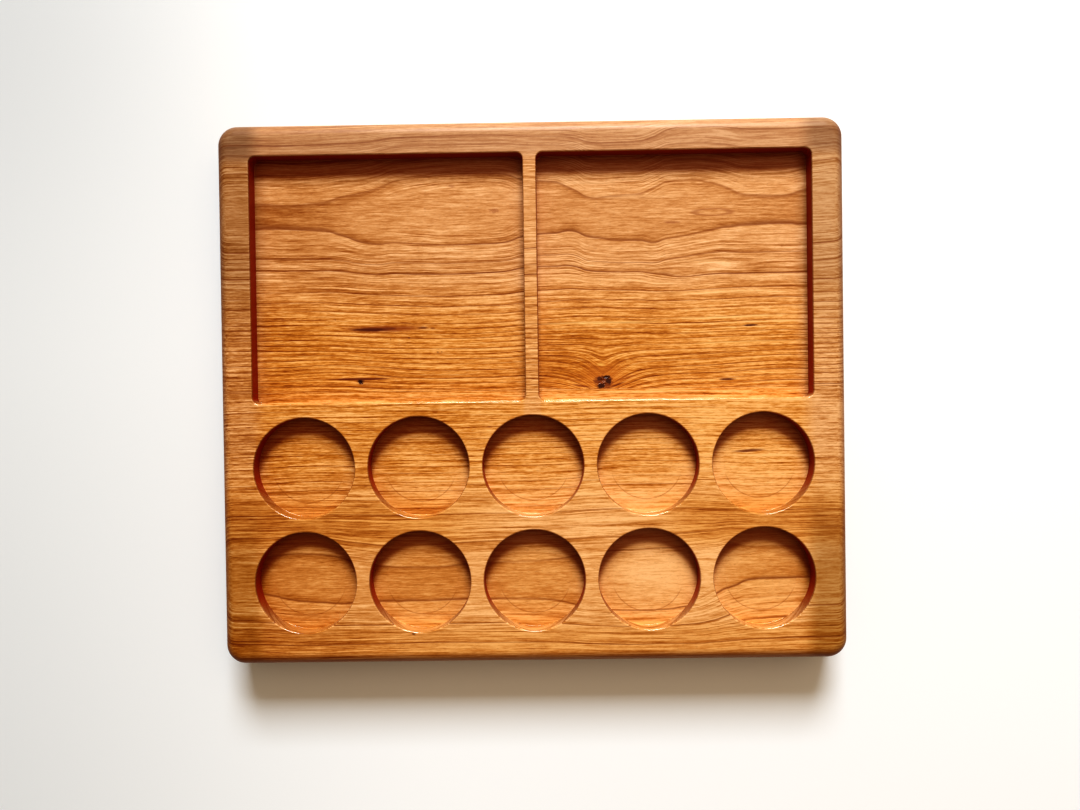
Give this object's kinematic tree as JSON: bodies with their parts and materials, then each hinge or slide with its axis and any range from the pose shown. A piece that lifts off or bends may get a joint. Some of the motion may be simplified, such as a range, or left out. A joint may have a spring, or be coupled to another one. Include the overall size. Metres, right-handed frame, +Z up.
{
  "type": "coin display tray",
  "caption": "Flat wooden tray with two rectangular pockets along the back and rows of round flat-bottomed coin wells along the front.",
  "frame": {"origin": "middle of the underside, on the plane that the tray rests on", "axes": "+X to the right along the long side and the grain, +Y to the back edge with the two pockets, +Z up out of the pockets and wells"},
  "size_m": [0.2952, 0.2556, 0.0286],
  "materials": {
    "cherry_rear": "oiled cherry, satin",
    "cherry_front": "oiled cherry, satin",
    "wood_glue": "cured wood glue, thin line"
  },
  "bodies": {
    "root": {"rear_board": "cherry_rear", "front_board": "cherry_front", "glue_line": "wood_glue"}
  },
  "joints": []
}
